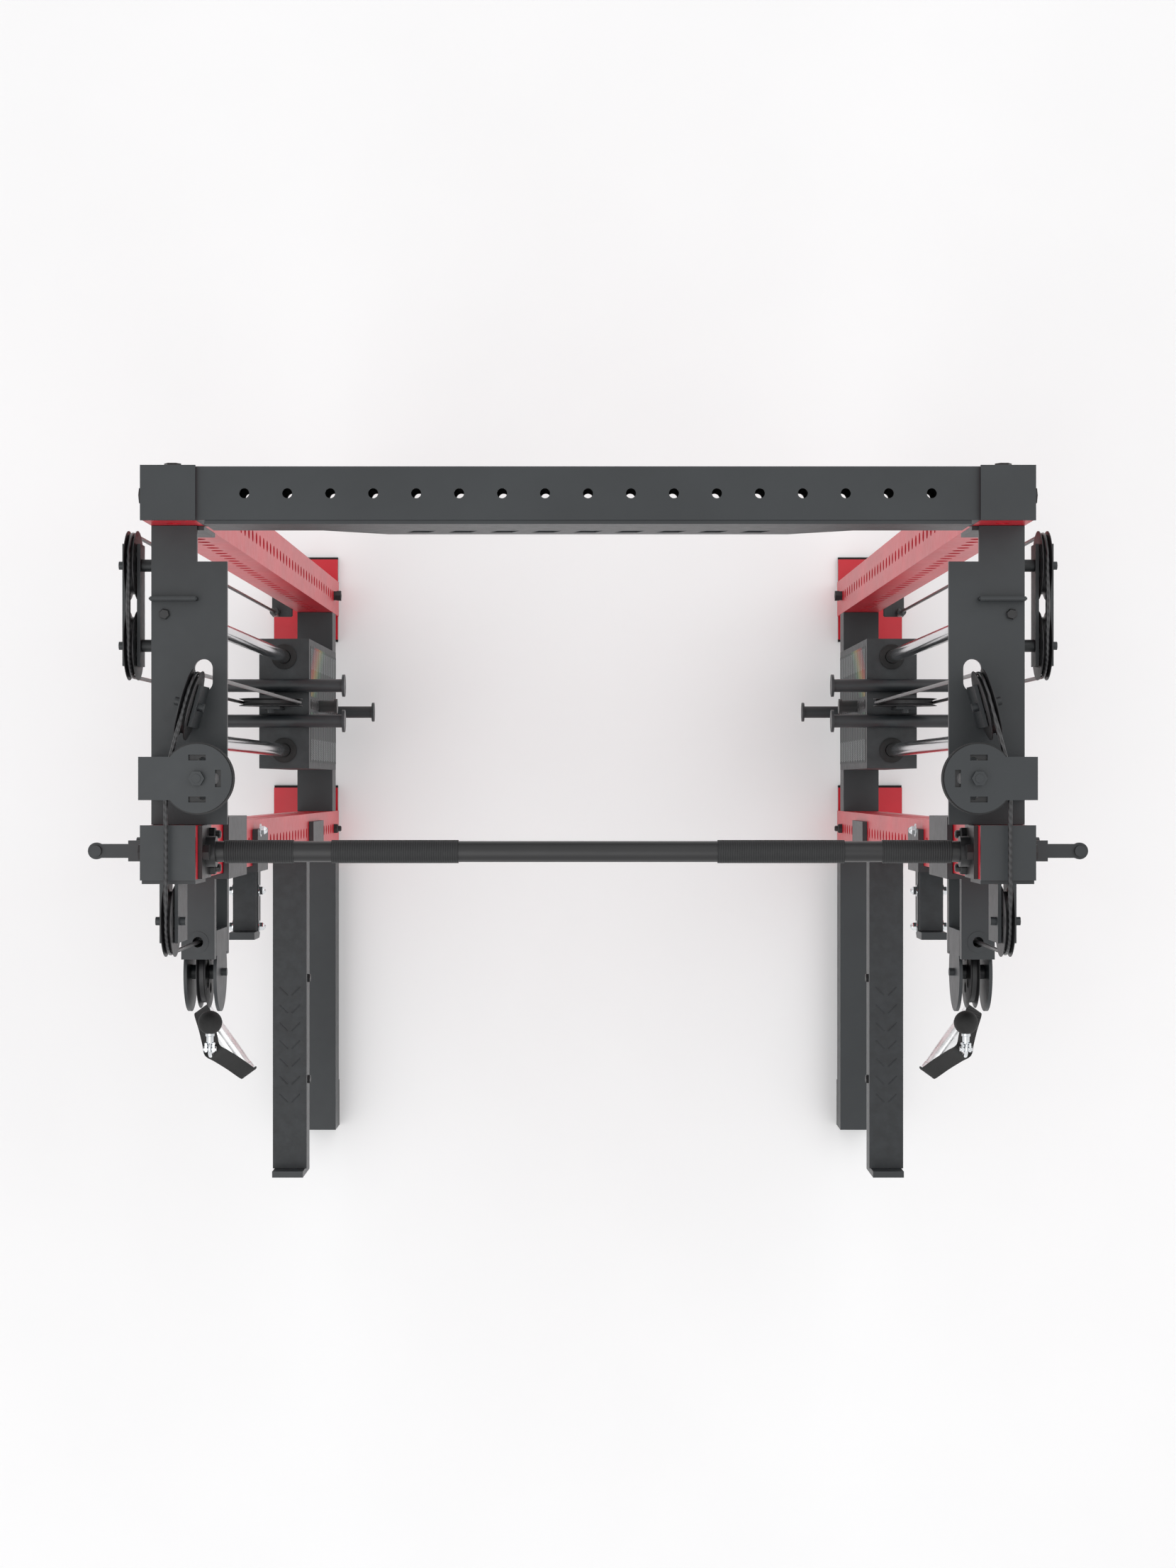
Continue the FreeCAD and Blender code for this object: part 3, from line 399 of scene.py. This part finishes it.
def upright_y(place, side):
    """Middle of the front or rear upright, from front to back."""
    low, high = corners(f"{place}_upright_{side}")
    return (low.y + high.y) / 2


def outer_run_x(side, m):
    """X of the stack's outer cable run."""
    return outer_face(f"stack_cable_{side}", m) + m * CABLE


def joint(name):
    return next(j for j in frame["record"]["behaviour"]["joints"] if j["name"] == name)


# ---------- cables ----------

RUN_INTO_WHEEL = 0.03       # how far the outer run goes up past the foot of its pulley
PULL_END = 0.035            # where the handle's run stops, behind the middle of the cable stop


def straight(start, end, steps):
    return [start.lerp(end, k / steps) for k in range(steps + 1)]


def cables(side, m):
    """The straight cable runs by the stack, trolley and handle, and the turns round moving pulleys."""
    jacket = SLOTS["cable_jacket"]
    high = corners(f"stack_cable_{side}")[1]
    lift = middle(f"lifting_pulley_{side}")
    outer_x = outer_run_x(side, m)
    inner_x = inner_face(f"stack_cable_{side}", m) - m * CABLE
    outer_top = corners(f"outer_pulley_front_{side}")[0].z + RUN_INTO_WHEEL
    mesh = bmesh.new()
    for x, top in ((inner_x, high.z), (outer_x, outer_top)):
        tube(mesh, straight(Vector((x, lift.y, lift.z)), Vector((x, lift.y, top)), 40), CABLE)
    runs = piece(f"stack_runs_{side}", mesh, jacket, None)
    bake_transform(runs)
    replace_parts(runs, f"stack_cable_{side}")
    mesh = bmesh.new()
    tube(mesh, arc(lift, X, Z, abs(inner_x - outer_x) / 2, 180, 360, 36), CABLE)
    piece(f"stack_turn_{side}", mesh, jacket, f"stack_{side}")

    low, high = corners(f"trolley_cable_{side}")
    spot = (low + high) / 2
    mesh = bmesh.new()
    tube(mesh, straight(Vector((spot.x, spot.y, low.z)), Vector((spot.x, spot.y, high.z)), 30), CABLE)
    riser = piece(f"trolley_run_{side}", mesh, jacket, None)
    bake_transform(riser)
    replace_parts(riser, f"trolley_cable_{side}")

    wheel = middle(f"trolley_pulley_{side}")
    reach = spot.y - wheel.y
    mesh = bmesh.new()
    tube(mesh, arc(wheel, Y, Z, reach, 0, -90), CABLE)
    piece(f"head_turn_{side}", mesh, jacket, f"swivel_head_{side}")
    start = Vector((wheel.x, wheel.y, wheel.z - reach))
    end = Vector((wheel.x, middle(f"cable_stop_{side}").y + PULL_END, start.z))
    mesh = bmesh.new()
    tube(mesh, straight(start, end, 30), CABLE * 1.02)
    pull = piece(f"handle_run_{side}", mesh, jacket, None)
    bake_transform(pull)


# ---------- handle ----------

AXLE_TO_BALL = 0.082        # from the trolley pulley's axle forwards to the ball stop
RUN_LIFT = 0.0025           # how far the cable run stands above the middle of the cable stop
GRIP_HALF = 0.061           # half of the grip tube's length
GRIP_TURN = 36              # degrees, how far the hanging handle is turned about Z
STRAP_HALF = 0.0143         # half of the webbing's width
STRAP_THICK = 0.0013        # half of its thickness
STRAP_STEPS = 56
STITCH_ROW = 0.0118         # from the webbing's middle out to each row of stitches
STITCH_HALF = 0.0016        # half of one stitch's length


def handle(side, m):
    """Ball stop, swivel hook and ring, sewn webbing strap and the metal grip with its collars."""
    body = f"handle_{side}"
    ball_and_hook(side, body)
    grip_low, grip_high = corners(f"handle_grip_{side}")
    grip = (grip_low + grip_high) / 2
    turn = math.radians(GRIP_TURN) * m
    along = Vector((-math.sin(turn), math.cos(turn), 0))
    across = Vector((math.cos(turn), math.sin(turn), 0))
    grip_tube(side, body, grip, along)
    strap(side, body, grip, along, across)


def ball_and_hook(side, body):
    low, high = corners(f"cable_stop_{side}")
    x = middle(f"trolley_pulley_{side}").x
    run_z = (high.z + low.z) / 2 + RUN_LIFT
    ball_y = joint(f"trolley_pulley_spin_{side}")["pos_m"][1] - AXLE_TO_BALL
    ball = Vector((x, ball_y, run_z))
    mesh = bmesh.new()
    dome = [(0.0185 * math.sin(t), max(0.0005, 0.0188 * math.cos(t)))
            for t in (math.radians(a) for a in range(-90, 91, 10))]
    lathe(mesh, ball, Y, dome, 40)
    seam = [(0.0005, 0.0189), (0.0025, 0.0189)]
    lathe(mesh, ball, Y, seam, 40)
    stop = piece(f"ball_stop_{side}", mesh, RUBBER, body)
    mesh = bmesh.new()
    shank = [(0, 0.007), (0.004, 0.007), (0.005, 0.0055), (0.016, 0.0055), (0.018, 0.004)]
    lathe(mesh, ball - Y * 0.017, -Y, shank)
    for near, far in ((-0.0075, -0.0045), (0.0045, 0.0075)):        # the clevis's two cheeks
        slab(mesh, (x + near, ball_y - 0.047, run_z - 0.007), (x + far, ball_y - 0.03, run_z + 0.007))
    clevis_pin = [(0, 0.0035), (0.020, 0.0035)]
    lathe(mesh, Vector((x - 0.010, ball_y - 0.041, run_z)), X, clevis_pin, 16)
    ring_at = Vector((x, low.y + 0.016, run_z - 0.008))
    tube(mesh, arc(ring_at, Y, Z, 0.013, 0, 345, 46), 0.0028, 12, True)
    piece(f"swivel_hook_{side}", mesh, CHROME, body)
    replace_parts(stop, f"cable_stop_{side}")


def grip_tube(side, body, grip, along):
    """A tube that swells a little between its ribs, with a raised collar at each end."""
    half = GRIP_HALF
    mesh = bmesh.new()
    outline = [(-half, 0.0125), (-half + 0.002, 0.0138), (-half + 0.010, 0.0138), (-half + 0.011, 0.0128)]
    outline += [(-half + 0.011 + 0.010 * k, 0.0128 + 0.0011 * math.sin(math.pi * k / 10))
                for k in range(1, 10)]
    outline += [(half - 0.011, 0.0128), (half - 0.010, 0.0138), (half - 0.002, 0.0138), (half, 0.0125)]
    lathe(mesh, grip, along, outline, 40)
    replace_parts(piece(f"grip_tube_{side}", mesh, STEEL, body), f"handle_grip_{side}")


def strap(side, body, grip, along, across):
    """Webbing from one end of the grip up through the ring and down to the other end, and its stitches."""
    half = GRIP_HALF
    strap_top = corners(f"handle_strap_{side}")[1].z
    top = Vector((grip.x, grip.y, strap_top - 0.0015))
    route = []
    for s in (-1, 1):
        leg = [grip + along * s * (half + 0.002) - Z * 0.008, grip + along * s * (half + 0.003) + Z * 0.008,
               grip + along * s * (half - 0.002) + Z * 0.024,
               grip + along * s * (half * 0.62) + Z * (strap_top - grip.z) * 0.42,
               grip + along * s * (half * 0.26) + Z * (strap_top - grip.z) * 0.75]
        route += leg if s == -1 else [top] + leg[::-1]
    curve = smooth_curve(route, STRAP_STEPS)
    mesh = bmesh.new()
    ribbon(mesh, curve, across, STRAP_HALF, STRAP_THICK)
    webbing = piece(f"webbing_strap_{side}", mesh, SLOTS["webbing"], body)
    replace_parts(webbing, f"handle_strap_{side}")
    mesh = bmesh.new()
    for row in (-STITCH_ROW, STITCH_ROW):
        for k in range(2, STRAP_STEPS - 2, 2):
            spot = curve[k] + across * row
            ahead = (curve[k + 1] - curve[k - 1]).normalized()
            out = across.cross(ahead).normalized() * STRAP_THICK
            for face in (-1, 1):
                ends = [spot - ahead * STITCH_HALF + out * face, spot + ahead * STITCH_HALF + out * face]
                tube(mesh, ends, 0.0004, 6)
    piece(f"strap_stitching_{side}", mesh, RUBBER, body)


def smooth_curve(route, count):
    """Evenly spread points on a smooth curve through a given route."""
    spots = []
    spans = len(route) - 1
    for k in range(count + 1):
        at = k / count * spans
        n = min(int(at), spans - 1)
        t = at - n
        a, b, c, d = (route[max(0, min(spans, n + j))] for j in (-1, 0, 1, 2))
        spots.append(0.5 * ((2 * b) + (c - a) * t + (2 * a - 5 * b + 4 * c - d) * t * t
                            + (3 * b - a - 3 * c + d) * t ** 3))
    return spots


def ribbon(mesh, curve, across, half, thick):
    """A flat strap with rounded selvedges that follows a curve."""
    section = [(-half, -0.3), (-half * 0.96, -1), (0, -1.08), (half * 0.96, -1), (half, -0.3),
               (half, 0.3), (half * 0.96, 1), (0, 1.08), (-half * 0.96, 1), (-half, 0.3)]
    rings = []
    for k, spot in enumerate(curve):
        ahead = (curve[min(k + 1, len(curve) - 1)] - curve[max(k - 1, 0)]).normalized()
        out = across.cross(ahead).normalized()
        rings.append([mesh.verts.new(spot + across * a + out * b * thick) for a, b in section])
    skin(mesh, rings)


# ---------- stack trim ----------

LIFTED, RESTING = 7, 14             # plates in each pile
PLATE_GAP = 0.0004                  # between one plate and the next
STRIP_STARTS = (0.012, 0.140)       # from the plate's front edge to each printed strip
STRIP_LONG, STRIP_HALF, STRIP_THICK = 0.098, 0.009, 0.0008
HATCH_STARTS = (0.016, 0.192)       # from the plate's front edge to each block of hatching
HATCH_LOW, HATCH_HIGH = 0.0006, 0.0011      # the hatching stands on the strip, between these
HATCH_COUNT, HATCH_STEP, HATCH_ROW = 9, 0.0045, 0.0055
PLUG = [(0, 0.0095), (0.0012, 0.0095), (0.0016, 0.0088), (0.0016, 0.0062), (0.0004, 0.0058)]


def stack_labels(side, m):
    """Printed strips on each weight's inner face, and a steel plug round its pin hole."""
    inner = inner_face(f"stack_head_{side}", m)
    piles = ((f"lifted_plates_{side}", f"stack_{side}", LIFTED), ("resting_plates", "frame", RESTING))
    for node_name, body, count in piles:
        low, high = corners(node_name)
        pitch = (high.z - low.z + PLATE_GAP) / count
        mesh = bmesh.new()
        plugs = bmesh.new()
        hatch = bmesh.new()
        for k in range(count):
            z = low.z + pitch * (k + 0.5)
            for y in (low.y + start for start in STRIP_STARTS):
                slab(mesh, (inner, y, z - STRIP_HALF),
                     (inner + m * STRIP_THICK, y + STRIP_LONG, z + STRIP_HALF), 0.0003)
            for y in (low.y + start for start in HATCH_STARTS):
                for row in range(2):
                    for step in range(HATCH_COUNT):
                        at = y + HATCH_STEP * step + 0.0018 * (row + k % 2)
                        rise = z - 0.0045 + HATCH_ROW * row
                        slab(hatch, (inner + m * HATCH_LOW, at, rise),
                             (inner + m * HATCH_HIGH, at + 0.0026, rise + 0.0034), 0.0002)
            lathe(plugs, Vector((inner, (low.y + high.y) / 2, z)), X * m, PLUG, 20)
        piece(f"labels_{node_name}_{side}", mesh, LABEL, body)
        piece(f"hatching_{node_name}_{side}", hatch, INK, body)
        piece(f"plugs_{node_name}_{side}", plugs, BLACK, body)


# ---------- fasteners and trim ----------

CUP_INSET = 0.013           # from the upright's middle inwards to the cup's middle
CUP_CHEEK = 0.0212          # from there out to each cheek
FOOT_BOLT_Z, REAR_BOLT_Z, BAR_BOLT_Z = 0.1265, 2.05, 2.0985
BAR_FLANGE = 0.0062         # the pull-up bar's flange, which its bolts stand on
NUT_TALL = 0.009
THREAD = [(0, 0.006), (0.005, 0.006), (0.007, 0.0045)]
DECK_THREAD = [(0, 0.008), (0.018, 0.008), (0.020, 0.0065)]
SEAL = [(0, 0.024), (0.004, 0.024), (0.005, 0.022), (0.005, 0.0132), (0.0005, 0.0130)]


def domed_nuts(side, m):
    """Domed nuts where the bar cup is held."""
    inner = inner_face(f"front_upright_{side}", m)
    cup_x = inner - m * UPRIGHT / 2 + m * CUP_INSET
    cup_foot = corners("j_cups")[0].z
    front_y = upright_y("front", side)
    mesh = bmesh.new()
    for ahead in (0.045, 0.105):
        for s in (-1, 1):
            spot = Vector((cup_x + s * CUP_CHEEK, front_y - UPRIGHT / 2 - ahead, cup_foot + 0.024))
            acorn(mesh, spot, X * s, 0.0075)
    for y in (front_y - 0.012, front_y + 0.02):
        acorn(mesh, Vector((inner + m * 0.009, y, cup_foot + 0.11)), X * m, 0.008)
    piece(f"domed_nuts_{side}", mesh, CHROME, "frame")


def hex_bolts(side, m):
    """Hex nuts and bolts on the feet, the beams, the pull-up bar, the spotter arms and the pulley deck."""
    inner = inner_face(f"front_upright_{side}", m)
    centre = inner - m * UPRIGHT / 2
    outer = inner - m * UPRIGHT
    front_y = upright_y("front", side)
    rear_y = upright_y("rear", side)
    arm_foot = corners("spotter_arms")[0].z
    deck_low, deck_high = corners("pulley_decks")
    mesh = bmesh.new()
    for y, z, out in ((front_y, FOOT_BOLT_Z, 0), (rear_y, FOOT_BOLT_Z, 0), (rear_y, REAR_BOLT_Z, 0),
                      (front_y - 0.024, BAR_BOLT_Z, BAR_FLANGE), (front_y + 0.024, BAR_BOLT_Z, BAR_FLANGE)):
        hexagon(mesh, Vector((inner + m * out, y, z)), X * m, 0.011, NUT_TALL)
        lathe(mesh, Vector((inner + m * (out + NUT_TALL), y, z)), X * m, THREAD, 16)
    for y in (-0.45, -0.25):
        hexagon(mesh, Vector((inner - m * 0.0075, y, arm_foot + 0.16)), X * m, 0.009, 0.006)
    deck_bolt_z = deck_high.z - 0.045
    hexagon(mesh, Vector((centre, rear_y - UPRIGHT / 2 - 0.0065, deck_bolt_z)), -Y, 0.014, 0.011)
    lathe(mesh, Vector((centre, rear_y - UPRIGHT / 2 - 0.017, deck_bolt_z)), -Y, DECK_THREAD, 20)
    for y in (deck_low.y + 0.05, deck_low.y + 0.30):
        hexagon(mesh, Vector((outer + m * 0.020, y, deck_high.z)), Z, 0.008, 0.006)
    piece(f"hex_bolts_{side}", mesh, BLACK, "frame", smooth=False)


def cable_anchor(side, m):
    """An angle bracket on the rear upright, whose shelf holds the end of the outer cable."""
    outer = inner_face(f"front_upright_{side}", m) - m * UPRIGHT
    face = upright_y("rear", side) - UPRIGHT / 2
    foot = corners("fixed_cables")[0].z
    run_x = outer_run_x(side, m)
    wall, top = outer - m * 0.0003, foot + 0.0385
    mesh = bmesh.new()
    slab(mesh, (run_x - m * 0.009, face - 0.016, foot + 0.032), (wall, face + 0.030, top))
    slab(mesh, (outer - m * 0.0063, face + 0.004, foot - 0.020), (wall, face + 0.054, top))
    for y in (face + 0.016, face + 0.042):
        hexagon(mesh, Vector((outer - m * 0.0063, y, foot)), -X * m, 0.008, 0.006)
    piece(f"cable_anchor_{side}", mesh, GREY, "frame")


def deck_rib(side, m):
    """A low rib across the pulley deck."""
    outer = inner_face(f"front_upright_{side}", m) - m * UPRIGHT
    high = corners("pulley_decks")[1]
    mesh = bmesh.new()
    slab(mesh, (outer, high.y - 0.108, high.z), (outer + m * 0.068, high.y - 0.102, high.z + 0.018))
    piece(f"deck_rib_{side}", mesh, GREY, "frame")


def rod_seals(side, m):
    """A rubber collar where each guide rod comes out of the stack's head."""
    centre = inner_face(f"front_upright_{side}", m) - m * UPRIGHT / 2
    rods_low, rods_high = corners("guide_rods")
    head_top = corners(f"stack_head_{side}")[1].z
    rod_radius = 0.0125
    mesh = bmesh.new()
    for y in (rods_low.y + rod_radius, rods_high.y - rod_radius):
        lathe(mesh, Vector((centre, y, head_top)), Z, SEAL, 36)
    piece(f"rod_seals_{side}", mesh, RUBBER, f"stack_{side}")


def pad_ribs(side, m):
    """Shallow diagonal ribs along each spotter arm's pad."""
    pad_front = corners("liners_and_pads")[0].y
    arm_foot = corners("spotter_arms")[0].z
    centre = inner_face(f"front_upright_{side}", m) - m * UPRIGHT / 2
    arm_rise, arm_tall, pad_tall = 0.120, 0.075, 0.0132
    top = arm_foot + arm_rise + arm_tall + pad_tall
    mesh = bmesh.new()
    for k in range(7):
        y = pad_front + 0.13 + 0.035 * k
        for s in (-1, 1):
            ends = [Vector((centre + s * 0.004, y, top)), Vector((centre + s * 0.020, y + 0.016, top))]
            tube(mesh, ends, 0.0011, 8)
    piece(f"pad_ribs_{side}", mesh, PAD, "frame")


# ---------- camera, light and floor ----------

SENSOR = 24                         # mm, the picture's tall side
FOCAL, PICTURE_TALL = 3840, 2212    # both in the picture's own units
EYE = (0, 0.134, 6.0)
LAMPS = (("key", (-1.2, -1.2, 5.4), 3.4, 46), ("fill", (2.2, 2.0, 4.8), 3.4, 30))
LAMPS_AIM = Vector((0, 0, 1.0))
SKY = 0.90


def light():
    """An even white surround and two wide lamps above."""
    world = bpy.data.worlds.new("studio")
    world.use_nodes = True
    world.node_tree.nodes["Background"].inputs["Color"].default_value = (1, 1, 1, 1)
    world.node_tree.nodes["Background"].inputs["Strength"].default_value = SKY
    bpy.context.scene.world = world
    for name, at, wide, power in LAMPS:
        lamp = bpy.data.lights.new(name, "AREA")
        lamp.size = wide
        lamp.energy = power
        holder = bpy.data.objects.new(name, lamp)
        holder.location = at
        holder.rotation_euler = (LAMPS_AIM - Vector(at)).to_track_quat("-Z", "Y").to_euler()
        bpy.context.collection.objects.link(holder)


def floor():
    """A wide flat white floor."""
    mesh = bmesh.new()
    bmesh.ops.create_grid(mesh, x_segments=2, y_segments=2, size=14)
    data = bpy.data.meshes.new("floor")
    mesh.to_mesh(data)
    mesh.free()
    made = bpy.data.objects.new("floor", data)
    bpy.context.collection.objects.link(made)
    paper = material("white_floor", (0.93, 0.93, 0.935), 0.7)
    tint(paper, noise(paper, 2, 3), (0.925, 0.925, 0.93), (0.94, 0.94, 0.945))
    data.materials.append(paper)


def camera():
    """A straight-down camera over the middle of the machine."""
    lens = bpy.data.cameras.new("camera")
    lens.sensor_fit = "VERTICAL"
    lens.sensor_height = SENSOR
    lens.lens = SENSOR * FOCAL / PICTURE_TALL
    lens.clip_end = 60
    eye = bpy.data.objects.new("camera", lens)
    eye.location = EYE
    bpy.context.collection.objects.link(eye)
    bpy.context.scene.camera = eye
    bpy.context.scene.view_settings.view_transform = "Standard"


light()
floor()
camera()
dress_frame()
for side, m in SIDES:
    cables(side, m)
    handle(side, m)
    stack_labels(side, m)
    domed_nuts(side, m)
    hex_bolts(side, m)
    cable_anchor(side, m)
    deck_rib(side, m)
    rod_seals(side, m)
    pad_ribs(side, m)
